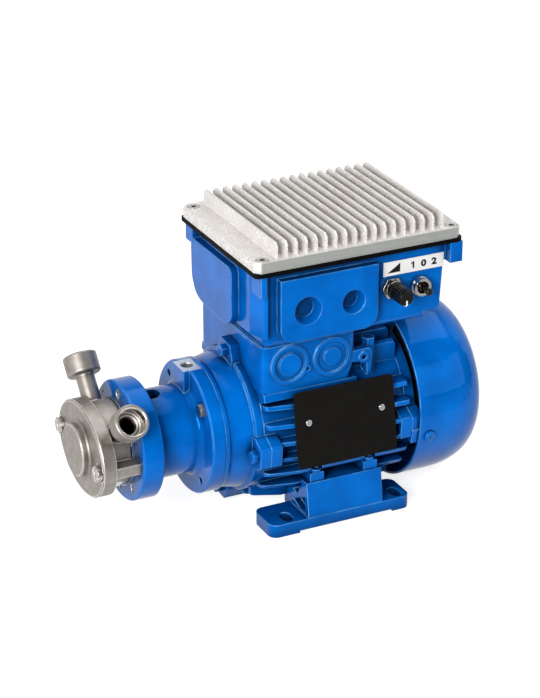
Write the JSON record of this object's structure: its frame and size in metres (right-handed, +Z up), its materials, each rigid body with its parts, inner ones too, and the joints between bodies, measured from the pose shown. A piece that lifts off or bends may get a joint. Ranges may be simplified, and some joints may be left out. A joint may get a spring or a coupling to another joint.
{
  "type": "flexible impeller pump",
  "caption": "Flexible impeller pump on a lantern bracket, driven by a foot-mounted motor with a finned drive box on top.",
  "frame": {"origin": "centre of the four foot holes, on the underside of the feet", "axes": "+X along the shaft from the pump to the fan cowl, -Y towards the knobs and nameplate, +Z up"},
  "size_m": [0.2743, 0.1332, 0.2036],
  "materials": {
    "blue_enamel": "gloss",
    "cast_stainless": "cast satin",
    "machined_steel": "turned",
    "cast_aluminium": "as cast",
    "black_rubber": "matt",
    "sintered_bronze": "satin",
    "zinc_steel": "zinc plated",
    "yellow_zinc_steel": "yellow zinc plated",
    "painted_bolt": "gloss",
    "electrical_steel": "laminated",
    "enamelled_copper": "varnished",
    "bearing_steel": "ground",
    "black_plastic": "moulded",
    "fan_plastic": "moulded",
    "black_plate": "satin",
    "bright_rivet": "satin",
    "bakelite": "moulded",
    "brass_stud": "satin",
    "board_green": "varnished",
    "can_sleeve": "sleeved",
    "nickel": "plated",
    "label_grey": "printed"
  },
  "bodies": {
    "root": {"pump_cover": "cast_stainless", "cover_bush": "sintered_bronze", "cover_screws": "cast_stainless", "cover_gasket": "black_rubber", "body_gasket": "black_rubber", "pump_body": "cast_stainless", "back_plate": "machined_steel", "shaft_seal": "black_rubber", "bracket": "blue_enamel", "bracket_bolts": "yellow_zinc_steel", "drive_end_shield": "blue_enamel", "shield_bolts": "painted_bolt", "motor_frame": "blue_enamel", "stator_core": "electrical_steel", "stator_windings": "enamelled_copper", "front_bearing": "bearing_steel", "rear_bearing": "bearing_steel", "fan_end_shield": "blue_enamel", "fan_cowl": "blue_enamel", "cowl_screws": "painted_bolt", "near_foot": "blue_enamel", "far_foot": "blue_enamel", "foot_screws": "painted_bolt", "nameplate": "black_plate", "nameplate_rivets": "bright_rivet", "terminal_base": "blue_enamel", "base_screws": "zinc_steel", "terminal_block": "bakelite", "terminal_studs": "brass_stud", "base_gasket": "black_rubber", "drive_housing": "blue_enamel", "housing_screws": "zinc_steel", "box_gasket": "black_rubber", "heat_sink": "cast_aluminium", "heat_sink_screws": "zinc_steel", "circuit_board": "board_green", "board_screws": "zinc_steel", "capacitors": "can_sleeve", "potentiometer": "zinc_steel", "pot_nut": "nickel", "toggle_switch": "nickel", "toggle_nut": "nickel", "control_label": "label_grey"},
    "shaft": {"impeller": "black_rubber", "impeller_key": "machined_steel", "pump_shaft": "machined_steel", "set_screw": "zinc_steel", "slinger": "black_rubber", "motor_shaft": "machined_steel", "shaft_key": "machined_steel", "rotor_core": "electrical_steel", "cooling_fan": "fan_plastic", "fan_clip": "zinc_steel"},
    "knob": {"knob": "black_plastic", "knob_collar": "nickel"},
    "toggle": {"toggle_lever": "black_plastic"}
  },
  "joints": [
    {"name": "shaft_spin", "type": "hinge", "parent": "root", "child": "shaft", "pos_m": [0, 0, 0.063], "axis": [1, 0, 0], "continuous": true},
    {"name": "knob_turn", "type": "hinge", "parent": "root", "child": "knob", "pos_m": [0.0345, -0.062, 0.1575], "axis": [0, 1, 0], "range_deg": [0, 300]},
    {"name": "toggle_flip", "type": "hinge", "parent": "root", "child": "toggle", "pos_m": [0.0548, -0.0523, 0.1555], "axis": [0, 0, 1], "range_deg": [-13, 13]}
  ]
}
